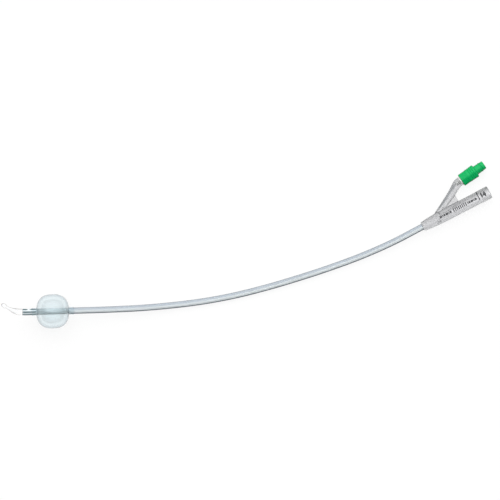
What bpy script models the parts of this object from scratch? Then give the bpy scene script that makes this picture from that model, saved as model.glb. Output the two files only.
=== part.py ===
"""Two-way silicone Foley catheter, lying as it comes to rest, with its balloon inflated.

Metres, +Z up. The part's origin lies on the floor under the middle of the whole catheter, and +X runs along
the drainage funnel towards its mouth. The pieces are placed from the collar end of the hub, where the shaft
goes in.
"""

import math

import bmesh
import bpy
from mathutils import Matrix, Vector
from mathutils.geometry import interpolate_bezier

# Place of the hub's collar end on the part's own axes
HUB_X = 0.1269
HUB_Y = -0.0465

# Shaft: a silicone extrusion with a drain lumen and a fine inflation lumen, plugged just past its port
SHAFT_R = 0.0025
DRAIN_R = 0.0014
DRAIN_ASIDE = 0.00035
INFLATION_R = 0.00035
SEPTUM = 0.00035
SHAFT_IN_HUB = 0.013
SHAFT_REACH = 0.3228
EYE_BEFORE_END = 0.0048
EYE_LENGTH = 0.0043
EYE_WIDTH = 0.0021
PORT_R = 0.00045
PORT_AHEAD = 0.0058
LUMEN_PAST_PORT = 0.0012

# Route of the catheter's axis over the floor, from inside the hub to the end of the tip
ROUTE = (
    (0.0150, 0.0000),
    (0.0000, 0.0000),
    (-0.0250, -0.0001),
    (-0.0520, 0.0016),
    (-0.0785, 0.0049),
    (-0.1046, 0.0092),
    (-0.1302, 0.0142),
    (-0.1552, 0.0202),
    (-0.1794, 0.0276),
    (-0.2030, 0.0364),
    (-0.2261, 0.0461),
    (-0.2487, 0.0566),
    (-0.2712, 0.0675),
    (-0.2864, 0.0749),
    (-0.2978, 0.0804),
    (-0.3068, 0.0849),
    (-0.3104, 0.0872),
    (-0.3130, 0.0899),
    (-0.3151, 0.0928),
    (-0.3169, 0.0957),
    (-0.3186, 0.0987),
    (-0.3200, 0.1013),
)
ROUTE_COLLAR = 1
HUB_SAG = 0.080
BALLOON_LIFT = 0.125

# Tip: tapered, bent to the eye's side, ending in a small olive
TIP_STRAIGHT = 0.0036
TIP_TAPER = 0.0098
NECK_R = 0.00105
OLIVE_R = 0.00175
OLIVE_HALF = 0.0024
SPIGOT_LENGTH = 0.0022
TIP_FULLNESS = 1.4

# Balloon: a thin sleeve bonded to the shaft at both ends
BALLOON_BEFORE_END = 0.0235
BALLOON_R = 0.01335
BALLOON_HALF = 0.01275
BALLOON_SQUARENESS = 2.5
BALLOON_WALL = 0.00025
COLLAR_LENGTH = 0.0040
COLLAR_WALL = 0.0003

# Hub: funnel, inflation arm and web in one moulding
HUB_COLLAR_WALL = 0.0011
WAIST_AT = 0.0205
WAIST_R = 0.00485
FUNNEL_STEP_AT = 0.0490
FUNNEL_STEP_R = 0.0049
FUNNEL_LENGTH = 0.0587
FUNNEL_LAND = 0.0008
FUNNEL_MOUTH_R = 0.00505
FUNNEL_ROUND = 0.0007
FUNNEL_BORE_R = 0.0037
FUNNEL_BORE_DEPTH = 0.0260
FUNNEL_BORE_INNER_R = 0.0031
DRAIN_PASSAGE_AT = 0.0200
DRAIN_PASSAGE_R = 0.0016
WEB_THICKNESS = 0.0011
WEB_REACH = 0.0341
ARM_ROUTE = (
    (0.0060, 0.0004, 0),
    (0.0115, 0.0022, 0),
    (0.0165, 0.0046, 0),
    (0.0214, 0.0071, 0),
    (0.0290, 0.0110, 0),
    (0.0340, 0.0138, 0),
    (0.0373, 0.0159, 0),
)
ARM_ROOT_R = 0.0015
ARM_END_R = 0.00355
ARM_STRAIGHT = 0.0018

# The inflation channel passes under the drain passage and rises into the arm
CHANNEL_R = 0.00045
CHANNEL_ROUTE = (
    (0.0138, -0.00195, -0.0010),
    (0.0149, -0.0010, -0.0025),
    (0.0159, 0.0009, -0.00285),
    (0.0169, 0.0025, -0.0018),
    (0.0182, 0.0037, -0.0007),
    (0.0202, 0.0056, -0.0001),
    (0.0230, 0.0079, 0),
)

# Inflation valve: place and turn of its axis, then lengths along it from the housing's rear face
VALVE_X = 0.0434
VALVE_Y = 0.0180
VALVE_TURN = math.radians(7.5)
VALVE_LENGTH = 0.0215
SKIRT_LENGTH = 0.0062
SKIRT_WIDTH = 0.0099
SKIRT_HEIGHT = 0.0094
GRIP_LENGTH = 0.0137
GRIP_WIDTH = 0.0107
GRIP_HEIGHT = 0.0098
GRIP_SLOPE = math.radians(25)
GRIP_CRISPNESS = 16
GRIP_TAPER = 0.0003
GRIP_GROOVES = 3
GROOVE_WIDTH = 0.0008
GROOVE_DEPTH = 0.00025
STEP_WIDTH = 0.0003
EDGE = 0.0004
SHOULDER = 0.0011
NOZZLE_ROOT_R = 0.0037
NOZZLE_R = 0.0033
THREAD_HEIGHT = 0.00055
THREAD_WIDTH = 0.0011
THREAD_CREST = 0.00044
THREAD_LEAD = 0.0050
THREAD_TURN = math.radians(150)
LUER_MOUTH_R = 0.00215
LUER_TAPER = 0.03
LUER_DEPTH = 0.0075
GUIDE_LENGTH = 0.0023
CHAMBER_R = 0.0028
TAIL_SOCKET_DEPTH = 0.0040

# Plunger, seal and spring inside the valve
STEM_R = 0.0011
STEM_RIB = 0.0007
STEM_IN_LUER = 0.0027
FLANGE_R = 0.0021
FLANGE_THICKNESS = 0.0008
PEG_R = 0.0009
PEG_LENGTH = 0.0015
SEAL_R = 0.0023
SEAL_THICKNESS = 0.0010
WIRE_R = 0.00018
SPRING_R = 0.0014
SPRING_TURNS = 5.5

# Barbed insert that holds the valve in the arm
TAIL_FLANGE_R = 0.0037
TAIL_FLANGE_THICKNESS = 0.0011
TAIL_STEM_R = 0.00125
TAIL_BARB_R = 0.0016
TAIL_BARB_LENGTH = 0.0020
TAIL_RIDGE_AT = 0.0015
TAIL_BARBS = 2
TAIL_BORE_R = 0.0006

# Clearances, and how far a cutter runs past what it cuts
SEAT_GAP = 0.0001
SLIDE_GAP = 0.00015
PRESS_GAP = 0.0001
PAST = 0.0005

# How finely the round and bent forms are divided
SHAFT_SIDES = 16
RING_SPACING = 0.009
TIP_SPACING = 0.0009
ARM_SPACING = 0.0019
CHANNEL_SPACING = 0.0016
FRAME_REACH = 0.0004
LUMEN_SIDES = 12
FINE_SIDES = 6
BALLOON_SIDES = 24
BALLOON_RINGS = 16
TIP_SIDES = 16
HUB_SIDES = 24
ARM_SIDES = 20
VALVE_SIDES = 28
CORNER_STEPS = 3
FLARE_STEPS = 5
OLIVE_STEPS = 6
THREAD_STEPS = 9
ROUTE_STEPS = 12

# What follows from the sizes above
HUB_Z = FUNNEL_MOUTH_R
EYE_AT = SHAFT_REACH - EYE_BEFORE_END
BALLOON_AT = SHAFT_REACH - BALLOON_BEFORE_END
PORT_AT = BALLOON_AT + PORT_AHEAD
SOCKET_R = SHAFT_R + PRESS_GAP
COLLAR_R = SOCKET_R + COLLAR_WALL
INFLATION_ASIDE = DRAIN_ASIDE - DRAIN_R - SEPTUM - INFLATION_R
ARM_BORE_R = TAIL_BARB_R + PRESS_GAP
ARM_END = -TAIL_FLANGE_THICKNESS - 2 * SEAT_GAP
TAIL_END = -TAIL_FLANGE_THICKNESS - SEAT_GAP - TAIL_BARBS * TAIL_BARB_LENGTH
TAIL_FRONT = TAIL_SOCKET_DEPTH - SEAT_GAP
GUIDE_END = VALVE_LENGTH - LUER_DEPTH
SEAT_AT = GUIDE_END - GUIDE_LENGTH
FLANGE_FRONT = SEAT_AT - SEAL_THICKNESS - 2 * SEAT_GAP
FLANGE_REAR = FLANGE_FRONT - FLANGE_THICKNESS


def clear_scene():
    for obj in list(bpy.data.objects):
        bpy.data.objects.remove(obj, do_unlink=True)


def material(name, colour, roughness, metallic=0.0, transmission=0.0):
    made = bpy.data.materials.new(name)
    made.use_nodes = True
    shader = made.node_tree.nodes["Principled BSDF"]
    shader.inputs["Base Color"].default_value = (*colour, 1.0)
    shader.inputs["Roughness"].default_value = roughness
    shader.inputs["Metallic"].default_value = metallic
    shader.inputs["Transmission Weight"].default_value = transmission
    return made


def empty(name, location, turn=0.0, parent=None):
    """An axis that pieces are built on."""
    made = bpy.data.objects.new(name, None)
    bpy.context.scene.collection.objects.link(made)
    made.location = location
    made.rotation_euler = (0, 0, turn)
    made.parent = parent
    return made


def solid(name, bm, parent, finish=None):
    """An object from a closed bmesh, with its round surfaces shaded smooth."""
    bmesh.ops.recalc_face_normals(bm, faces=bm.faces)
    mesh = bpy.data.meshes.new(name)
    bm.to_mesh(mesh)
    bm.free()
    mesh.shade_smooth()
    mesh.set_sharp_from_angle(angle=math.radians(40))
    made = bpy.data.objects.new(name, mesh)
    bpy.context.scene.collection.objects.link(made)
    made.parent = parent
    if finish:
        mesh.materials.append(finish)
    return made


def combine(target, operation, tool):
    """Joins the tool to the target or cuts it away, and keeps the tool as a hidden guide."""
    tool.hide_render = True
    tool.display_type = "WIRE"
    modifier = target.modifiers.new(tool.name, "BOOLEAN")
    modifier.operation = operation
    modifier.solver = "EXACT"
    modifier.object = tool


def loft(rings, closed=False):
    """A skin through rings of equally many points, with both ends capped, or running round to its start."""
    bm = bmesh.new()
    rows = [[bm.verts.new(point) for point in ring] for ring in rings]
    for low, high in zip(rows, rows[1:] + rows[:1] if closed else rows[1:]):
        for i in range(len(low)):
            j = (i + 1) % len(low)
            bm.faces.new((low[i], low[j], high[j], high[i]))
    if not closed:
        bm.faces.new(rows[0])
        bm.faces.new(rows[-1])
    return bm


def oval(half_x, half_y, sides):
    """Points of a round or oval section, the first along +X."""
    angles = [2 * math.pi * i / sides for i in range(sides)]
    return [(half_x * math.cos(angle), half_y * math.sin(angle)) for angle in angles]


def turned(profile, sides, closed=False):
    """A profile of (place along X, radius) turned about X: a plug with flat ends, or a ring if closed."""
    rings = [[(x, y, z) for y, z in oval(radius, radius, sides)] for x, radius in profile]
    return loft(rings, closed)


def corner(place, radius, size, steps=CORNER_STEPS):
    """Profile points of a rounded outer edge that ends at this place, on a part of this radius."""
    angles = [math.pi / 2 * i / steps for i in range(steps + 1)]
    return [(place - size + size * math.sin(a), radius - size + size * math.cos(a)) for a in angles]


def smooth(points):
    """Fine points of a smooth curve through these, bent at each by how near its neighbours are."""
    points = [Vector(p).to_3d() for p in points]
    gaps = [(b - a).length for a, b in zip(points, points[1:])]
    slopes = [(b - a) / gap for a, b, gap in zip(points, points[1:], gaps)]
    tangents = [slopes[0]]
    for i in range(1, len(slopes)):
        tangents.append((gaps[i] * slopes[i - 1] + gaps[i - 1] * slopes[i]) / (gaps[i - 1] + gaps[i]))
    tangents.append(slopes[-1])
    fine = points[:1]
    for i, gap in enumerate(gaps):
        handles = (points[i] + gap / 3 * tangents[i], points[i + 1] - gap / 3 * tangents[i + 1])
        fine += interpolate_bezier(points[i], *handles, points[i + 1], ROUTE_STEPS + 1)[1:]
    return fine


class Path:
    """Fine points with their places along the curve, counted from one of them."""

    def __init__(self, points, zero=0):
        self.points = points
        self.places = [0.0]
        for a, b in zip(points, points[1:]):
            self.places.append(self.places[-1] + (b - a).length)
        self.places = [place - self.places[zero] for place in self.places]
        self.start = self.places[0]
        self.end = self.places[-1]

    def at(self, place):
        last = len(self.points) - 2
        i = next((k for k in range(last) if place <= self.places[k + 1]), last)
        share = (place - self.places[i]) / (self.places[i + 1] - self.places[i])
        return self.points[i] + share * (self.points[i + 1] - self.points[i])

    def frame(self, place):
        """The curve's frame there: X aside, Y upwards, Z along it."""
        along = (self.at(place + FRAME_REACH) - self.at(place - FRAME_REACH)).normalized()
        aside = along.cross(Vector((0, 0, 1))).normalized()
        turn = Matrix((aside, aside.cross(along), along)).transposed()
        return Matrix.Translation(self.at(place)) @ turn.to_4x4()

    def ring(self, place, radius, sides, aside=0.0):
        frame = self.frame(place)
        return [frame @ Vector((x + aside, y, 0)) for x, y in oval(radius, radius, sides)]


def spread(start, end, spacing):
    """Places from start to end, evenly spaced, no further apart than this."""
    count = math.ceil((end - start) / spacing)
    return [start + (end - start) * i / count for i in range(count + 1)]


def balloon_outline(wall=0.0):
    """Places and radii of the balloon's bulge about its middle, a squarish oval clear of its collars."""
    half = BALLOON_HALF - wall
    radius = BALLOON_R - wall
    outline = []
    for i in range(1, BALLOON_RINGS):
        angle = math.pi * i / BALLOON_RINGS
        place = -half * math.copysign(abs(math.cos(angle)) ** (2 / BALLOON_SQUARENESS), math.cos(angle))
        outline.append((place, radius * math.sin(angle) ** (2 / BALLOON_SQUARENESS)))
    return outline


def balloon_rings():
    """Places and radii of the balloon's outside: a collar, the bulge and the other collar."""
    start = BALLOON_AT - BALLOON_HALF
    end = BALLOON_AT + BALLOON_HALF
    rings = [(start - COLLAR_LENGTH, COLLAR_R), (start, COLLAR_R)]
    rings += [(BALLOON_AT + place, radius) for place, radius in balloon_outline()]
    return rings + [(end, COLLAR_R), (end + COLLAR_LENGTH, COLLAR_R)]


def rest_height(place, balloon_height):
    """Height of the shaft's axis: held up at the hub, sagging to the floor, and lifted by the balloon."""
    sag = min(max(place / HUB_SAG, 0), 1)
    near = (HUB_Z - SHAFT_R) * (1 - sag * sag * (3 - 2 * sag))
    lift = max(1 + (place - BALLOON_AT) / BALLOON_LIFT, 0)
    far = lift * lift * (3 - lift) / 2 if lift < 1 else 1 + 1.5 * (lift - 1)
    return SHAFT_R + near + (balloon_height - SHAFT_R) * far


def raised_route(balloon_height):
    plan = Path(smooth(ROUTE), ROUTE_COLLAR * ROUTE_STEPS)
    lifted = []
    for point, place in zip(plan.points, plan.places):
        lifted.append(point + Vector((0, 0, rest_height(place, balloon_height) - HUB_Z)))
    return Path(lifted, ROUTE_COLLAR * ROUTE_STEPS)


def lay_route():
    """The catheter's axis in space. The tilted balloon is lifted by what it would sink into the floor."""
    level = raised_route(BALLOON_R)
    lowest = min(p.z for place, radius in balloon_rings() for p in level.ring(place, radius, BALLOON_SIDES))
    return raised_route(BALLOON_R - HUB_Z - lowest)


def make_shaft(route, hub_axis, finish):
    eye_end = EYE_AT - EYE_LENGTH
    places = spread(-SHAFT_IN_HUB, eye_end, RING_SPACING)[:-1]
    places += spread(eye_end, SHAFT_REACH, RING_SPACING / 4)
    shaft = solid("shaft", loft([route.ring(s, SHAFT_R, SHAFT_SIDES) for s in places]), hub_axis, finish)
    places = [places[0] - PAST, *places[1:-1], places[-1] + PAST]
    drain = loft([route.ring(s, DRAIN_R, LUMEN_SIDES, DRAIN_ASIDE) for s in places])
    combine(shaft, "DIFFERENCE", solid("drain_lumen_cutter", drain, hub_axis))
    places = spread(places[0], PORT_AT + LUMEN_PAST_PORT, RING_SPACING)
    inflation = loft([route.ring(s, INFLATION_R, FINE_SIDES, INFLATION_ASIDE) for s in places])
    combine(shaft, "DIFFERENCE", solid("inflation_lumen_cutter", inflation, hub_axis))
    eye = side_cutter(DRAIN_ASIDE, SHAFT_R + PAST, EYE_LENGTH / 2, EYE_WIDTH / 2, LUMEN_SIDES)
    eye.transform(route.frame(EYE_AT))
    combine(shaft, "DIFFERENCE", solid("eye_cutter", eye, hub_axis))
    port = side_cutter(INFLATION_ASIDE, -SHAFT_R - PAST, PORT_R, PORT_R, LUMEN_SIDES)
    port.transform(route.frame(PORT_AT))
    combine(shaft, "DIFFERENCE", solid("port_cutter", port, hub_axis))
    return shaft


def side_cutter(start, end, half_length, half_width, sides):
    """A plug that runs sideways out of the shaft, in the frame of its axis."""
    section = oval(half_width, half_length, sides)
    return loft([[(x, y, z) for y, z in section] for x in (start, end)])


def tip_radius(place):
    """The tip's radius this far from its joint: straight, tapering to the neck, then the olive."""
    share = min(max((place - TIP_STRAIGHT) / TIP_TAPER, 0), 1)
    taper = SHAFT_R - (SHAFT_R - NECK_R) * math.sin(share * math.pi / 2) ** TIP_FULLNESS
    along = (place - olive_middle()) / OLIVE_HALF
    return max(taper, OLIVE_R * math.sqrt(max(1 - along * along, 0))) if along < 0 else OLIVE_R


def olive_middle():
    """Where the olive is widest. It grows out of the neck where that ends."""
    return TIP_STRAIGHT + TIP_TAPER + OLIVE_HALF * math.sqrt(1 - (NECK_R / OLIVE_R) ** 2)


def make_tip(route, hub_axis, finish):
    joint = SHAFT_REACH + SEAT_GAP
    spigot = DRAIN_R - PRESS_GAP
    rings = [route.ring(s, spigot, TIP_SIDES, DRAIN_ASIDE) for s in (SHAFT_REACH - SPIGOT_LENGTH, joint)]
    for place in spread(0, olive_middle(), TIP_SPACING):
        rings.append(route.ring(joint + place, tip_radius(place), TIP_SIDES))
    for i in range(1, OLIVE_STEPS):
        angle = math.pi / 2 * i / OLIVE_STEPS
        place = joint + olive_middle() + OLIVE_HALF * math.sin(angle)
        rings.append(route.ring(place, OLIVE_R * math.cos(angle), TIP_SIDES))
    return solid("tip", loft(rings), hub_axis, finish)


def make_balloon(route, hub_axis, finish):
    outer = balloon_rings()
    start = BALLOON_AT - BALLOON_HALF
    end = BALLOON_AT + BALLOON_HALF
    inner = [(start - COLLAR_LENGTH, SOCKET_R), (start + BALLOON_WALL, SOCKET_R)]
    inner += [(BALLOON_AT + place, radius) for place, radius in balloon_outline(BALLOON_WALL)]
    inner += [(end - BALLOON_WALL, SOCKET_R), (end + COLLAR_LENGTH, SOCKET_R)]
    rings = [route.ring(place, radius, BALLOON_SIDES) for place, radius in outer + inner[::-1]]
    return solid("balloon", loft(rings, closed=True), hub_axis, finish)


def hub_profile():
    """The funnel's outside, from its collar end to its mouth."""
    start = SOCKET_R + HUB_COLLAR_WALL
    profile = [(0, start)]
    for i in range(1, FLARE_STEPS + 1):
        share = i / FLARE_STEPS
        profile.append((WAIST_AT * share, start + (WAIST_R - start) * share * (2 - share)))
    profile += [(FUNNEL_STEP_AT, FUNNEL_STEP_R), (FUNNEL_STEP_AT + FUNNEL_LAND, FUNNEL_MOUTH_R)]
    return profile + corner(FUNNEL_LENGTH, FUNNEL_MOUTH_R, FUNNEL_ROUND)


def valve_point(place):
    """A point of the valve's axis, on the hub's axes."""
    return Vector((VALVE_X + place * math.cos(VALVE_TURN), VALVE_Y + place * math.sin(VALVE_TURN), 0))


def drain_bore():
    """The way from the shaft's drain lumen to the funnel's tapered mouth."""
    bore_start = FUNNEL_LENGTH - FUNNEL_BORE_DEPTH
    stations = (
        (SHAFT_IN_HUB - PAST, DRAIN_R, DRAIN_ASIDE),
        (SHAFT_IN_HUB + PAST, DRAIN_R, DRAIN_ASIDE),
        (DRAIN_PASSAGE_AT, DRAIN_PASSAGE_R, 0),
        (bore_start, FUNNEL_BORE_INNER_R, 0),
        (FUNNEL_LENGTH, FUNNEL_BORE_R, 0),
        (FUNNEL_LENGTH + PAST, FUNNEL_BORE_R, 0),
    )
    return loft([[(x, y + aside, z) for y, z in oval(r, r, HUB_SIDES)] for x, r, aside in stations])


def make_hub(hub_axis, finish):
    hub = solid("y_hub", turned(hub_profile(), HUB_SIDES), hub_axis, finish)
    arm_points = (*ARM_ROUTE, valve_point(ARM_END - ARM_STRAIGHT), valve_point(ARM_END))
    arm_path = Path(smooth(arm_points))
    places = spread(arm_path.start, arm_path.end, ARM_SPACING)
    rings = []
    for place in places:
        radius = ARM_ROOT_R + (ARM_END_R - ARM_ROOT_R) * place / arm_path.end
        rings.append(arm_path.ring(place, radius, ARM_SIDES))
    combine(hub, "UNION", solid("arm_form", loft(rings), hub_axis))
    foot = WAIST_R / 2
    top = (WEB_REACH - PAST, ARM_ROUTE[5][1])
    outline = ((ARM_ROUTE[2][0], foot), (WEB_REACH, foot), top, ARM_ROUTE[3][:2])
    web = loft([[(x, y, z) for x, y in outline] for z in (-WEB_THICKNESS / 2, WEB_THICKNESS / 2)])
    combine(hub, "UNION", solid("web_form", web, hub_axis))
    socket = turned(((-PAST, SOCKET_R), (SHAFT_IN_HUB + SEAT_GAP, SOCKET_R)), HUB_SIDES)
    combine(hub, "DIFFERENCE", solid("socket_cutter", socket, hub_axis))
    combine(hub, "DIFFERENCE", solid("drain_cutter", drain_bore(), hub_axis))
    insert_end = TAIL_END - SEAT_GAP
    arm_bore = turned(((insert_end, ARM_BORE_R), (ARM_END + PAST, ARM_BORE_R)), ARM_SIDES)
    arm_bore.transform(Matrix.Translation(valve_point(0)) @ Matrix.Rotation(VALVE_TURN, 4, "Z"))
    combine(hub, "DIFFERENCE", solid("arm_bore_cutter", arm_bore, hub_axis))
    shaft_end = (SHAFT_IN_HUB - PAST, INFLATION_ASIDE, 0)
    channel = Path(smooth((shaft_end, *CHANNEL_ROUTE, *ARM_ROUTE[4:6], valve_point(insert_end + PAST))))
    places = spread(channel.start, channel.end, CHANNEL_SPACING)
    rings = [channel.ring(place, CHANNEL_R, FINE_SIDES) for place in places]
    combine(hub, "DIFFERENCE", solid("channel_cutter", loft(rings), hub_axis))
    return hub


def ridged(width, height, inset=0.0):
    """A hexagon with soft edges: upright sides, and a blunt ridge above and below."""
    walls = [(turn, width / 2 - inset) for turn in (0, math.pi)]
    roof = height / 2 * math.cos(GRIP_SLOPE) - inset
    for ridge in (math.pi / 2, -math.pi / 2):
        walls += [(ridge - GRIP_SLOPE, roof), (ridge + GRIP_SLOPE, roof)]
    points = []
    for i in range(VALVE_SIDES):
        angle = 2 * math.pi * i / VALVE_SIDES
        nearness = [max(math.cos(angle - turn) / distance, 0) ** GRIP_CRISPNESS for turn, distance in walls]
        reach = sum(nearness) ** (-1 / GRIP_CRISPNESS)
        points.append((reach * math.cos(angle), reach * math.sin(angle)))
    return points


def housing_sections():
    """The valve housing's outside: places along it, and the outline at each."""
    skirt = ridged(SKIRT_WIDTH, SKIRT_HEIGHT)
    grip_rear = ridged(GRIP_WIDTH - 2 * GRIP_TAPER, GRIP_HEIGHT)
    grip_end = GRIP_LENGTH - SHOULDER
    sections = [
        (0, ridged(SKIRT_WIDTH, SKIRT_HEIGHT, EDGE)),
        (EDGE, skirt),
        (SKIRT_LENGTH - STEP_WIDTH, skirt),
        (SKIRT_LENGTH, grip_rear),
    ]
    for i in range(1, GRIP_GROOVES + 1):
        share = i / (GRIP_GROOVES + 1)
        middle = SKIRT_LENGTH + share * (grip_end - SKIRT_LENGTH)
        width = GRIP_WIDTH - 2 * GRIP_TAPER * (1 - share)
        for side, depth in ((-1, 0), (-0.5, GROOVE_DEPTH), (0.5, GROOVE_DEPTH), (1, 0)):
            sections.append((middle + side * GROOVE_WIDTH / 2, ridged(width, GRIP_HEIGHT, depth)))
    return sections + [
        (grip_end, ridged(GRIP_WIDTH, GRIP_HEIGHT)),
        (grip_end + SHOULDER / 2, ridged(GRIP_WIDTH, GRIP_HEIGHT, EDGE)),
        (GRIP_LENGTH, oval(NOZZLE_ROOT_R, NOZZLE_ROOT_R, VALVE_SIDES)),
        (VALVE_LENGTH - EDGE, oval(NOZZLE_R, NOZZLE_R, VALVE_SIDES)),
        (VALVE_LENGTH, oval(NOZZLE_R - EDGE, NOZZLE_R - EDGE, VALVE_SIDES)),
    ]


def thread_start(turn):
    """One start of the lock thread: a short ridge that climbs round the nozzle."""
    climb = THREAD_LEAD * THREAD_TURN / (2 * math.pi)
    first = VALVE_LENGTH - EDGE - THREAD_WIDTH - climb
    rings = []
    for i in range(THREAD_STEPS + 1):
        angle = turn + THREAD_TURN * i / THREAD_STEPS
        place = first + climb * i / THREAD_STEPS
        low = NOZZLE_R - THREAD_HEIGHT
        high = NOZZLE_R + THREAD_HEIGHT * math.sqrt(math.sin(math.pi * (i + 0.5) / (THREAD_STEPS + 1)))
        section = (
            (place - THREAD_WIDTH / 2, low),
            (place - THREAD_CREST / 2, high),
            (place + THREAD_CREST / 2, high),
            (place + THREAD_WIDTH / 2, low),
        )
        rings.append([(x, r * math.cos(angle), r * math.sin(angle)) for x, r in section])
    return loft(rings)


def make_housing(valve_axis, finish):
    rings = [[(place, y, z) for y, z in outline] for place, outline in housing_sections()]
    housing = solid("valve_body", loft(rings), valve_axis, finish)
    for number, turn in enumerate((0, math.pi), 1):
        combine(housing, "UNION", solid(f"thread_form_{number}", thread_start(turn), valve_axis))
    bore = (
        (-PAST, CHAMBER_R),
        (SEAT_AT, CHAMBER_R),
        (SEAT_AT, STEM_R + SLIDE_GAP),
        (GUIDE_END, STEM_R + SLIDE_GAP),
        (GUIDE_END, LUER_MOUTH_R - LUER_TAPER * LUER_DEPTH),
        (VALVE_LENGTH + PAST, LUER_MOUTH_R + LUER_TAPER * PAST),
    )
    combine(housing, "DIFFERENCE", solid("bore_cutter", turned(bore, HUB_SIDES), valve_axis))
    return housing


def make_tail(valve_axis, finish):
    rear_face = -SEAT_GAP
    flange_rear = rear_face - TAIL_FLANGE_THICKNESS
    profile = [(TAIL_END, TAIL_BORE_R)]
    for i in range(TAIL_BARBS):
        place = TAIL_END + i * TAIL_BARB_LENGTH
        ridge = place + TAIL_RIDGE_AT
        profile += [(place, TAIL_STEM_R), (ridge, TAIL_BARB_R), (ridge, TAIL_STEM_R)]
    profile += [(flange_rear, TAIL_STEM_R), (flange_rear, TAIL_FLANGE_R), (rear_face, TAIL_FLANGE_R)]
    plug_r = CHAMBER_R - PRESS_GAP
    profile += [(rear_face, plug_r), (TAIL_FRONT, plug_r), (TAIL_FRONT, TAIL_BORE_R)]
    return solid("valve_tail", turned(profile, VALVE_SIDES, closed=True), valve_axis, finish)


def make_plunger(valve_axis, finish):
    profile = (
        (FLANGE_REAR - PEG_LENGTH, PEG_R - SLIDE_GAP),
        (FLANGE_REAR - PEG_LENGTH + SLIDE_GAP, PEG_R),
        (FLANGE_REAR, PEG_R),
        (FLANGE_REAR, FLANGE_R),
        (FLANGE_FRONT, FLANGE_R),
    )
    plunger = solid("valve_plunger", turned(profile, LUMEN_SIDES * 2), valve_axis, finish)
    rib = STEM_RIB / 2
    arms = []
    for turn in range(4):
        corners = (Vector((STEM_R, -rib)), Vector((STEM_R, rib)), Vector((rib, rib)))
        arms += [point @ Matrix.Rotation(-turn * math.pi / 2, 2) for point in corners]
    stem_end = GUIDE_END + STEM_IN_LUER
    places = ((FLANGE_REAR + SEAT_GAP, 1), (stem_end - SLIDE_GAP, 1), (stem_end, 0.8))
    rings = [[(x, share * y, share * z) for y, z in arms] for x, share in places]
    combine(plunger, "UNION", solid("stem_form", loft(rings), valve_axis))
    return plunger


def make_seal(valve_axis, finish):
    rear = FLANGE_FRONT + SEAT_GAP
    front = SEAT_AT - SEAT_GAP
    bore_r = STEM_R + SEAT_GAP
    edge = SEAL_THICKNESS / 4
    profile = [(rear, bore_r), (rear, SEAL_R - edge), (rear + edge, SEAL_R)]
    profile += [(front - edge, SEAL_R), (front, SEAL_R - edge), (front, bore_r)]
    return solid("valve_seal", turned(profile, LUMEN_SIDES * 2, closed=True), valve_axis, finish)


def make_spring(valve_axis, finish):
    """A wire wound from the insert's front face to the plunger's flange."""
    start = TAIL_FRONT + SEAT_GAP + WIRE_R
    end = FLANGE_REAR - SEAT_GAP - WIRE_R
    steps = round(SPRING_TURNS * LUMEN_SIDES)
    rings = []
    for i in range(steps + 1):
        angle = 2 * math.pi * SPRING_TURNS * i / steps
        place = start + (end - start) * i / steps
        ring = []
        for out, along in oval(WIRE_R, WIRE_R, FINE_SIDES):
            radius = SPRING_R + out
            ring.append((place + along, radius * math.cos(angle), radius * math.sin(angle)))
        rings.append(ring)
    return solid("valve_spring", loft(rings), valve_axis, finish)


def main():
    clear_scene()
    clear_silicone = material("clear_silicone", (0.80, 0.86, 0.90), 0.25, transmission=0.7)
    balloon_film = material("balloon_film", (0.76, 0.85, 0.90), 0.2, transmission=0.85)
    frosted_silicone = material("frosted_silicone", (0.66, 0.67, 0.69), 0.5, transmission=0.2)
    green_plastic = material("green_plastic", (0.005, 0.5, 0.12), 0.3)
    natural_plastic = material("natural_plastic", (0.80, 0.82, 0.78), 0.4)
    seal_rubber = material("seal_rubber", (0.05, 0.05, 0.055), 0.7)
    spring_steel = material("spring_steel", (0.6, 0.6, 0.6), 0.3, metallic=1.0)

    hub_axis = empty("hub_axis", (HUB_X, HUB_Y, HUB_Z))
    valve_axis = empty("valve_axis", (VALVE_X, VALVE_Y, 0), VALVE_TURN, hub_axis)
    route = lay_route()
    make_shaft(route, hub_axis, clear_silicone)
    make_tip(route, hub_axis, clear_silicone)
    make_balloon(route, hub_axis, balloon_film)
    make_hub(hub_axis, frosted_silicone)
    make_housing(valve_axis, green_plastic)
    make_tail(valve_axis, natural_plastic)
    make_plunger(valve_axis, natural_plastic)
    make_seal(valve_axis, seal_rubber)
    make_spring(valve_axis, spring_steel)


main()
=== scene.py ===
import math

import bpy
from mathutils import Matrix, Vector
from mathutils.geometry import interpolate_bezier


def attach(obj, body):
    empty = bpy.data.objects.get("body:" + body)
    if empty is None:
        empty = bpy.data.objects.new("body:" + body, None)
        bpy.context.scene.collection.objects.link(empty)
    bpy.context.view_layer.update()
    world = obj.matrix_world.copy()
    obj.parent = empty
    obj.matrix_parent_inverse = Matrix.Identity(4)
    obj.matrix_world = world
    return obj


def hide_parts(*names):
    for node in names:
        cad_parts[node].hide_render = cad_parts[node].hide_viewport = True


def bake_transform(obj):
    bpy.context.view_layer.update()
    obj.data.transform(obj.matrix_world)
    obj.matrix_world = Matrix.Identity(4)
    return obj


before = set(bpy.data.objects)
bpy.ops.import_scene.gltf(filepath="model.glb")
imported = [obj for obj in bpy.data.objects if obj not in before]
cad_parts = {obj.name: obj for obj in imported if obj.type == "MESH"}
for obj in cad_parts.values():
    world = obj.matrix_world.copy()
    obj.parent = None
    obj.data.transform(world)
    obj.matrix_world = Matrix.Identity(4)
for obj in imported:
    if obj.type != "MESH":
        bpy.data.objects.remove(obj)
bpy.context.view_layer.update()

MM = 0.001
TINY = 0.01 * MM

# The picture's frame: it looks straight down, with the funnel pointing up to the right
PICTURE_TURN = math.radians(-27.5)
PICTURE_MIDDLE = (-0.8 * MM, -0.5 * MM)
PICTURE_WIDTH = 390 * MM
CAMERA_HEIGHT = 4.0
SENSOR = 36.0
CLIP_START = 0.01

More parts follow.
